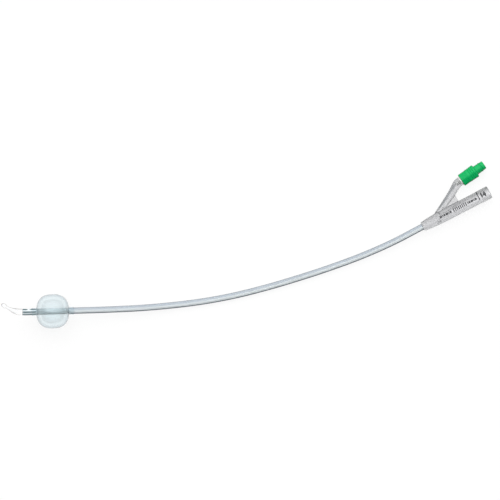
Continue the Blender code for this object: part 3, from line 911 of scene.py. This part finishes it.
def ridged_block(name, width, height, corner, rings):
    """A block along X with upright sides and a blunt ridge above and below, extruded through rings of
    place and growth."""
    deselect()
    bpy.ops.mesh.primitive_circle_add(
        vertices=6, radius=1, fill_type="NGON", rotation=(0, math.pi / 2, 0)
    )
    block = bpy.context.object
    block.name = name
    settle(block)
    block.rotation_euler.x = math.pi / 2
    settle(block)
    bpy.ops.object.mode_set(mode="EDIT")
    bpy.ops.mesh.select_all(action="SELECT")
    bpy.ops.transform.resize(value=(1, width / 2 / math.cos(math.pi / 6), height / 2))
    bpy.ops.mesh.bevel(offset=corner, segments=CORNER_SEGMENTS, affect="VERTICES")
    bpy.ops.mesh.select_all(action="SELECT")
    here = 0.0
    grown = 0.0
    for place, growth in rings:
        extrude_by((place - here, 0, 0))
        across = (width + 2 * growth) / (width + 2 * grown)
        up = (height + 2 * growth) / (height + 2 * grown)
        bpy.ops.transform.resize(value=(1, across, up), center_override=(place, 0, 0))
        here = place
        grown = growth
    face_outwards()
    return block


def grip_rings():
    """Rounded rear edge, skirt, step, grooves and rounded shoulder, as places and growth from the rear
    face."""
    skirt = SKIRT_GROWTH
    grip = SKIRT_GROWTH + GRIP_STEP
    full = SKIRT_GROWTH + GRIP_FLARE
    rings = [
        (0.05 * MM, 0.17 * MM),
        (0.16 * MM, 0.28 * MM),
        (0.35 * MM, skirt),
        (SKIRT_END - 0.35 * MM, skirt),
        (SKIRT_END - 0.05 * MM, grip),
        (SKIRT_END + 0.1 * MM, grip),
    ]
    grip_end = GRIP_END - SHOULDER
    for i in range(1, GROOVES + 1):
        share = i / (GROOVES + 1)
        middle = SKIRT_END + share * (grip_end - SKIRT_END)
        level = grip + (full - grip) * share
        for side, depth in GROOVE_FORM:
            rings.append((middle + side * GROOVE_HALF, level - depth * MM))
    return rings + [
        (grip_end, full),
        (grip_end + 0.3 * MM, full - 0.08 * MM),
        (grip_end + 0.6 * MM, full - 0.4 * MM),
        (grip_end + 0.85 * MM, -0.4 * MM),
        (GRIP_END, -1.3 * MM),
    ]


def lock_lug(turn):
    """One start of the lock thread, a short round ridge climbing round the nozzle."""
    climb = THREAD_LEAD * THREAD_SWEEP / (2 * math.pi)
    first = VALVE_LENGTH - NOZZLE_ROUNDING - THREAD_FROM_MOUTH - climb
    points = helix(first, climb, NOZZLE_R - THREAD_SUNK, turn, THREAD_SWEEP, THREAD_STEPS)
    return swept("lug", points, THREAD_R, THREAD_R, WIRE_FINENESS)


def helix(start, climb, radius, turn, sweep, steps):
    """Points that climb along X while they go round it."""
    points = []
    for i in range(steps + 1):
        angle = turn + sweep * i / steps
        place = start + climb * i / steps
        points.append(Vector((place, radius * math.cos(angle), radius * math.sin(angle))))
    return points


def model_housing():
    """Skirt, grooved grip and threaded nozzle, bored through."""
    sizes = (HOUSING_WIDTH, HOUSING_HEIGHT, HOUSING_CORNER)
    housing = ridged_block("valve_housing", *sizes, grip_rings())
    nozzle = [(NOZZLE_ROOT, NOZZLE_ROOT_R), (GRIP_END, NOZZLE_ROOT_R)]
    nozzle += rounded(VALVE_LENGTH, NOZZLE_R, NOZZLE_ROUNDING)
    cut(housing, turned("nozzle", closed_to_axis(nozzle), NOZZLE_SIDES), "UNION")
    for turn in (0, math.pi):
        cut(housing, lock_lug(turn), "UNION")
    cut(housing, turned("luer_bore", closed_to_axis(HOUSING_BORE), NOZZLE_SIDES))
    place_on(housing, VALVE, VALVE_TURN)
    return housing


def model_insert():
    """The barbed insert, whose flange shows as a pale ring between arm and housing."""
    outline = [(INSERT_END, INSERT_BORE_R)]
    for i in range(BARBS):
        foot = INSERT_END + BARB_PITCH * i
        ridge = foot + BARB_RIDGE
        outline += [(foot, INSERT_STEM_R), (ridge, BARB_R), (ridge, INSERT_STEM_R)]
    insert = turned("barbed_insert", outline + list(INSERT_FRONT), INSERT_SIDES, closed=True)
    place_on(insert, VALVE, VALVE_TURN)
    return insert


def model_plunger():
    """Peg and flange with a stem of four ribs, which is pushed in to open the valve."""
    plunger = turned("valve_stem", PLUNGER_FORM, PLUNGER_SIDES)
    for turn in (0, math.pi / 2):
        deselect()
        bpy.ops.mesh.primitive_cube_add(
            size=1, location=(RIB_MIDDLE, 0, 0), rotation=(turn, 0, 0), scale=RIB_SIZE
        )
        rib = bpy.context.object
        settle(rib)
        edges = rib.modifiers.new("edges", "BEVEL")
        edges.width = RIB_EDGE
        edges.segments = RIB_EDGE_SEGMENTS
        apply_modifiers(rib)
        cut(plunger, rib, "UNION")
    place_on(plunger, VALVE, VALVE_TURN)
    return plunger


def model_seal():
    """A rubber ring with rounded outer edges, which closes on the seat."""
    edge = [
        (SEAL_ROUNDING * (1 - math.cos(angle)), SEAL_FACE_R + SEAL_ROUNDING * math.sin(angle))
        for angle in quarter_turn(ROUND_STEPS)
    ]
    outline = [(SEAL_REAR, SEAL_BORE_R)]
    outline += [(SEAL_REAR + along, radius) for along, radius in edge]
    outline += [(SEAL_FRONT - along, radius) for along, radius in edge[::-1]]
    outline.append((SEAL_FRONT, SEAL_BORE_R))
    seal = turned("seat_seal", outline, PLUNGER_SIDES, closed=True)
    place_on(seal, VALVE, VALVE_TURN)
    return seal


def model_spring():
    """Wire wound from the insert's front face to the plunger's flange."""
    length = SPRING_END - SPRING_START
    wound = 2 * math.pi * SPRING_TURNS
    points = helix(SPRING_START, length, SPRING_R, 0, wound, SPRING_STEPS)
    spring = swept("return_spring", points, WIRE_R, WIRE_R, WIRE_FINENESS)
    place_on(spring, VALVE, VALVE_TURN)
    return spring


# Finishes


def finish(name, colour, roughness, **sockets):
    """A new material with its plain values set on the shader's own sockets."""
    made = bpy.data.materials.new(name)
    made.use_nodes = True
    shader = made.node_tree.nodes["Principled BSDF"]
    shader.inputs["Base Color"].default_value = (*colour, 1)
    shader.inputs["Roughness"].default_value = roughness
    for socket, value in sockets.items():
        shader.inputs[socket.replace("_", " ")].default_value = value
    return made


def spread(tree, value, start, end, low=0.0, high=1.0):
    """Where this value lies from start to end, as a number from low to high."""
    node = tree.nodes.new("ShaderNodeMapRange")
    numbers = {"From Min": start, "From Max": end, "To Min": low, "To Max": high}
    for socket, number in numbers.items():
        node.inputs[socket].default_value = number
    tree.links.new(value, node.inputs["Value"])
    return node.outputs["Result"]


def place_along(tree, point, direction):
    """How far this point lies along a direction."""
    node = tree.nodes.new("ShaderNodeVectorMath")
    node.operation = "DOT_PRODUCT"
    node.inputs[1].default_value = direction
    tree.links.new(point, node.inputs[0])
    return node.outputs["Value"]


def mixed(tree, share, first, second, kind="MIX"):
    """Two colours mixed or multiplied. Each value is a socket or a plain one."""
    node = tree.nodes.new("ShaderNodeMixRGB")
    node.blend_type = kind
    for socket, value in (("Fac", share), ("Color1", first), ("Color2", second)):
        if isinstance(value, bpy.types.NodeSocket):
            tree.links.new(value, node.inputs[socket])
        else:
            node.inputs[socket].default_value = value
    return node.outputs["Color"]


def grain(made, scale, height, rough_low, rough_high):
    """Fine unevenness of a moulded surface, in its roughness and its bump."""
    tree = made.node_tree
    shader = tree.nodes["Principled BSDF"]
    place = tree.nodes.new("ShaderNodeTexCoord")
    noise = tree.nodes.new("ShaderNodeTexNoise")
    noise.inputs["Scale"].default_value = scale
    noise.inputs["Detail"].default_value = 3
    tree.links.new(place.outputs["Object"], noise.inputs["Vector"])
    roughness = spread(tree, noise.outputs["Fac"], 0.3, 0.7, rough_low, rough_high)
    tree.links.new(roughness, shader.inputs["Roughness"])
    bump = tree.nodes.new("ShaderNodeBump")
    bump.inputs["Distance"].default_value = height
    bump.inputs["Strength"].default_value = 0.6
    tree.links.new(noise.outputs["Fac"], bump.inputs["Height"])
    tree.links.new(bump.outputs["Normal"], shader.inputs["Normal"])


def absorb(made, colour, density):
    """Takes light up inside a see-through piece, the more the thicker it is."""
    tree = made.node_tree
    inside = tree.nodes.new("ShaderNodeVolumeAbsorption")
    inside.inputs["Color"].default_value = (*colour, 1)
    inside.inputs["Density"].default_value = density
    tree.links.new(inside.outputs["Volume"], tree.nodes["Material Output"].inputs["Volume"])


def blend_stops(tree, source, stops):
    """A colour ramp over these places and colours."""
    ramp = tree.nodes.new("ShaderNodeValToRGB")
    while len(ramp.color_ramp.elements) < len(stops):
        ramp.color_ramp.elements.new(0.5)
    for element, (position, colour) in zip(ramp.color_ramp.elements, stops):
        element.position = position
        element.color = (*colour, 1)
    tree.links.new(source, ramp.inputs["Fac"])
    return ramp.outputs["Color"]


def painted_rim_shade(made, blend, *stops):
    """Paints shade into the surface's tone as it turns edge-on."""
    tree = made.node_tree
    facing = tree.nodes.new("ShaderNodeLayerWeight")
    facing.inputs["Blend"].default_value = blend
    colour = blend_stops(tree, facing.outputs["Facing"], stops)
    tree.links.new(colour, tree.nodes["Principled BSDF"].inputs["Base Color"])


def noted(tree, name):
    """What the mesh's points keep under this name."""
    kept = tree.nodes.new("ShaderNodeAttribute")
    kept.attribute_name = name
    return kept.outputs["Fac"]


def tube_silicone():
    """Cloudy tube wall with painted light and shade of the light that bends through it: greyer with
    painted shade over the drain lumen, whitest with painted light between the lumens, and dark at the
    fine one, partly the lumen and partly painted shade. Past the balloon both walls and the septum
    show as painted dark outlines, and in the balloon the tube is painted pale, as light spread by the
    film."""
    made = finish(
        "tube_silicone", (0.8, 0.84, 0.86), 0.2, Transmission_Weight=0.35, IOR=SILICONE_IOR
    )
    tree = made.node_tree
    across = spread(tree, noted(tree, "across"), -1, 1)
    grey = (0.53, 0.59, 0.65)
    white = (0.92, 0.98, 1.0)
    dark = (0.12, 0.15, 0.19)
    rim = (0.19, 0.22, 0.25)
    # Painted bands across the tube: shade over the drain lumen and at its edge, light between the
    # lumens, and a dark line at the fine lumen, partly the lumen and partly painted shade
    along = blend_stops(tree, across, (
        (0.0, grey), (0.05, dark), (0.13, dark), (0.2, white), (0.45, white),
        (0.64, grey), (0.9, grey), (0.97, rim), (1.0, rim),
    ))
    pale = (0.90, 0.98, 1.0)
    outline_shade = (0.03, 0.10, 0.13)
    # Past the balloon: painted dark outlines of both walls and the septum, with pale between them
    end = blend_stops(tree, across, (
        (0.0, outline_shade), (0.12, outline_shade), (0.2, pale), (0.38, pale), (0.43, outline_shade),
        (0.58, outline_shade), (0.63, pale), (0.78, pale), (0.84, outline_shade), (1.0, outline_shade),
    ))
    colour = mixed(tree, noted(tree, "past_balloon"), along, end)
    # Painted light: inside the balloon the tube is mixed towards pale, as light spread by the film
    colour = mixed(tree, noted(tree, "painted_light_in_balloon"), colour, (*pale, 1))
    tree.links.new(colour, tree.nodes["Principled BSDF"].inputs["Base Color"])
    grain(made, 700, 0.006 * MM, 0.16, 0.26)
    return made


def tip_silicone():
    """Clear silicone that shows only its outline, as painted shade where it turns edge-on."""
    made = finish(
        "tip_silicone", (0.96, 0.98, 0.99), 0.08, Transmission_Weight=1.0, IOR=SILICONE_IOR
    )
    clear = (0.97, 0.98, 0.99)
    painted_rim_shade(
        made, 0.3, (0.0, clear), (0.14, clear), (0.3, (0.56, 0.53, 0.50)), (1.0, (0.12, 0.11, 0.10))
    )
    grain(made, 700, 0.004 * MM, 0.06, 0.11)
    return made


def balloon_film():
    """Stretched film with painted shade: clearest halfway out and darkest at its rim. Where it is
    bonded to the shaft, the two are one silicone, so light hardly bends between them and the film is
    left at its clearest."""
    made = finish(
        "balloon_film", (0.96, 0.985, 0.995), 0.05, Transmission_Weight=1.0, IOR=SILICONE_IOR
    )
    absorb(made, (0.2, 0.6, 0.75), 90)
    clearest = (0.94, 0.97, 0.98)
    painted_rim_shade(
        made, 0.25, (0.0, (0.88, 0.93, 0.945)), (0.16, clearest), (0.22, clearest),
        (0.33, (0.81, 0.85, 0.87)), (0.55, (0.52, 0.57, 0.60)), (1.0, (0.2, 0.26, 0.28)),
    )
    grain(made, 250, 0.006 * MM, 0.03, 0.08)
    tree = made.node_tree
    tint = tree.nodes["Principled BSDF"].inputs["Base Color"]
    bonded = noted(tree, "bonded")
    tree.links.new(mixed(tree, bonded, tint.links[0].from_socket, (*clearest, 1)), tint)
    bending = spread(tree, bonded, 0, 1, SILICONE_IOR, BONDED_IOR)
    tree.links.new(bending, tree.nodes["Principled BSDF"].inputs["IOR"])
    return made


def frosted_silicone():
    """Whitish grey moulded silicone, greyer the thicker it is, with painted shade at its rims and
    painted light and shade across funnel and arm.
    """
    made = finish(
        "frosted_silicone", (0.95, 0.95, 0.96), 0.35, Transmission_Weight=1.0, IOR=SILICONE_IOR
    )
    absorb(made, (0.0, 0.02, 0.05), 38)
    painted_rim_shade(made, 0.3, (0.0, (0.98, 0.98, 0.99)), (1.0, (0.50, 0.51, 0.52)))
    grain(made, 1200, 0.008 * MM, 0.3, 0.4)
    painted_shade_across(made)
    return made


def painted_shade_across(made):
    """Painted light and shade of the light that bends through the silicone: the funnel is greyer on
    the arm's side. The arm's wall shows a painted bright band and a dark one along its channel, which
    fade at the barbed insert."""
    tree = made.node_tree
    tint = tree.nodes["Principled BSDF"].inputs["Base Color"]
    place = tree.nodes.new("ShaderNodeTexCoord")

    def share(direction, first, last):
        """How far along this level direction a point is, from one place to another."""
        return spread(tree, place_along(tree, place.outputs["Object"], direction), first, last)

    clear = (1.0, 1.0, 1.0)
    lengthways = Vector((1, 0, 0))
    sideways = Vector((0, 1, 0))
    # Painted shade: the funnel is greyer on the arm's side
    funnel = blend_stops(tree, share(sideways, HUB.y - MOUTH_R, HUB.y + MOUTH_R), (
        (0.0, clear), (0.5, clear), (0.7, (0.86, 0.86, 0.86)), (1.0, (0.78, 0.78, 0.78)),
    ))
    first, last = (HUB + Vector(ARM_ROUTE[i]) for i in (3, 6))
    side = Vector((first.y - last.y, last.x - first.x, 0)).normalized()
    middle = side.dot((first + last) / 2)
    # Painted light and shade: a bright band and a dark one along the arm's channel
    arm = blend_stops(tree, share(side, middle - ARM_SHADE_R, middle + ARM_SHADE_R), (
        (0.0, (0.72, 0.72, 0.72)), (0.22, (0.68, 0.68, 0.68)), (0.32, clear), (0.53, clear),
        (0.62, (0.36, 0.38, 0.39)), (0.74, (0.2, 0.22, 0.23)), (0.82, (0.6, 0.61, 0.62)),
        (1.0, (0.5, 0.51, 0.52)),
    ))
    at_insert = share(lengthways, last.x - ARM_SHADE_R / 2, last.x + ARM_SHADE_R / 2)
    arm = mixed(tree, at_insert, arm, (0.92, 0.92, 0.92, 1))
    on_arm = share(sideways, HUB.y + MOUTH_R, HUB.y + MOUTH_R + 2 * MM)
    shade = mixed(tree, on_arm, funnel, arm)
    tree.links.new(mixed(tree, 1.0, tint.links[0].from_socket, shade, "MULTIPLY"), tint)


def bonded_silicone():
    """The tube where the hub is moulded onto it: the two are one silicone, so no surface shows."""
    made = finish(
        "bonded_silicone", (1.0, 1.0, 1.0), 0.3, Transmission_Weight=1.0, IOR=BONDED_IOR
    )
    grain(made, 700, 0.004 * MM, 0.26, 0.34)
    return made


def bond_in_hub(shaft):
    """Gives the tube inside the hub its own finish."""
    shaft.data.materials.append(bonded_silicone())
    for face in shaft.data.polygons:
        face.material_index = 1 if face.center.x > HUB.x else 0


def print_ink():
    """Matt black ink."""
    made = finish("print_ink", (0.03, 0.032, 0.036), 0.5)
    grain(made, 3000, 0.004 * MM, 0.4, 0.6)
    return made


def green_plastic():
    """Opaque green plastic, with painted shade where it turns edge-on."""
    face = (0.001, 0.40, 0.105)
    made = finish("green_plastic", face, 0.4, IOR=1.49, Specular_IOR_Level=0.2)
    painted_rim_shade(
        made, 0.4, (0.0, face), (0.3, face), (0.75, (0.001, 0.13, 0.05)), (1.0, (0.001, 0.08, 0.03))
    )
    grain(made, 1500, 0.008 * MM, 0.34, 0.46)
    return made


def natural_plastic():
    """Uncoloured plastic that lets a little light through."""
    made = finish("natural_plastic", (0.80, 0.82, 0.79), 0.4, Transmission_Weight=0.2, IOR=1.5)
    grain(made, 1500, 0.008 * MM, 0.34, 0.46)
    return made


def seal_rubber():
    """Matt black rubber."""
    made = finish("seal_rubber", (0.03, 0.03, 0.033), 0.6)
    grain(made, 2500, 0.01 * MM, 0.5, 0.7)
    return made


def spring_steel():
    """Bright drawn wire."""
    made = finish("spring_steel", (0.62, 0.62, 0.63), 0.25, Metallic=1.0)
    grain(made, 4000, 0.003 * MM, 0.2, 0.34)
    return made


# The studio


def studio():
    """A glowing white floor under a sky that is brightest to the tip's side."""
    deselect()
    bpy.ops.mesh.primitive_plane_add(size=FLOOR_SIZE, location=(0, 0, -FLOOR_DROP))
    floor = bpy.context.object
    floor.name = "studio_floor"
    paper = finish(
        "studio_paper", (0.12, 0.12, 0.12), 0.9, Specular_IOR_Level=0.1,
        Emission_Color=(1, 1, 1, 1), Emission_Strength=FLOOR_GLOW,
    )
    floor.data.materials.append(paper)

    world = bpy.data.worlds.new("studio_light")
    bpy.context.scene.world = world
    world.use_nodes = True
    tree = world.node_tree
    sky = tree.nodes["Background"]
    place = tree.nodes.new("ShaderNodeTexCoord")
    side = Vector((math.sin(-PICTURE_TURN), math.cos(PICTURE_TURN), 0.0))
    up = Vector((0, 0, math.cos(LIGHT_LEAN)))
    aim = place_along(tree, place.outputs["Generated"], side * math.sin(LIGHT_LEAN) + up)
    greys = [(position, (level,) * 3) for position, level in SKY_LEVELS]
    tree.links.new(blend_stops(tree, spread(tree, aim, -1, 1), greys), sky.inputs["Color"])
    sky.inputs["Strength"].default_value = SKY_STRENGTH


def camera():
    """Looks straight down from far above, as the picture does."""
    made = bpy.data.cameras.new("camera")
    made.sensor_width = SENSOR
    made.lens = SENSOR * CAMERA_HEIGHT / PICTURE_WIDTH
    made.clip_start = CLIP_START
    obj = bpy.data.objects.new("camera", made)
    bpy.context.scene.collection.objects.link(obj)
    obj.location = (*PICTURE_MIDDLE, CAMERA_HEIGHT)
    obj.rotation_euler = (0, 0, PICTURE_TURN)
    bpy.context.scene.camera = obj


# Bodies and CAD nodes


def coat(obj, finish_made):
    """Gives the piece this finish alone."""
    obj.data.materials.clear()
    obj.data.materials.append(finish_made)


def stand_for(node):
    """Hides the CAD node that the piece replaces."""
    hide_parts(node)


def dress(obj, finish_made, body, node):
    """Gives a finished piece its material and body, and hides the CAD node that it replaces."""
    coat(obj, finish_made)
    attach(obj, body)
    stand_for(node)


bpy.context.scene.view_settings.view_transform = "Standard"
camera()
studio()

route = lay_route()
guide = guide_curve(route)
shaft = model_shaft()
tip = model_tip()
balloon = model_balloon()
for piece in (shaft, tip, balloon):
    bend_along(piece, guide)
bpy.data.objects.remove(guide, do_unlink=True)
hub = model_hub()
housing = model_housing()
insert = model_insert()
plunger = model_plunger()
seal = model_seal()
spring = model_spring()
ink = model_print(hub)
for piece in (shaft, tip, balloon, hub, housing, insert, plunger, seal, spring, ink):
    smooth_off(piece)

dress(shaft, tube_silicone(), "catheter", "shaft")
bond_in_hub(shaft)
dress(tip, tip_silicone(), "catheter", "tip")
dress(balloon, balloon_film(), "catheter", "balloon")
dress(hub, frosted_silicone(), "catheter", "y_hub")
dress(housing, green_plastic(), "catheter", "valve_body")
natural = natural_plastic()
dress(insert, natural, "catheter", "valve_tail")
dress(plunger, natural, "plunger", "valve_plunger")
dress(seal, seal_rubber(), "plunger", "valve_seal")
coat(spring, spring_steel())
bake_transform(spring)
stand_for("valve_spring")
coat(ink, print_ink())
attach(ink, "catheter")

shaft_line(route)
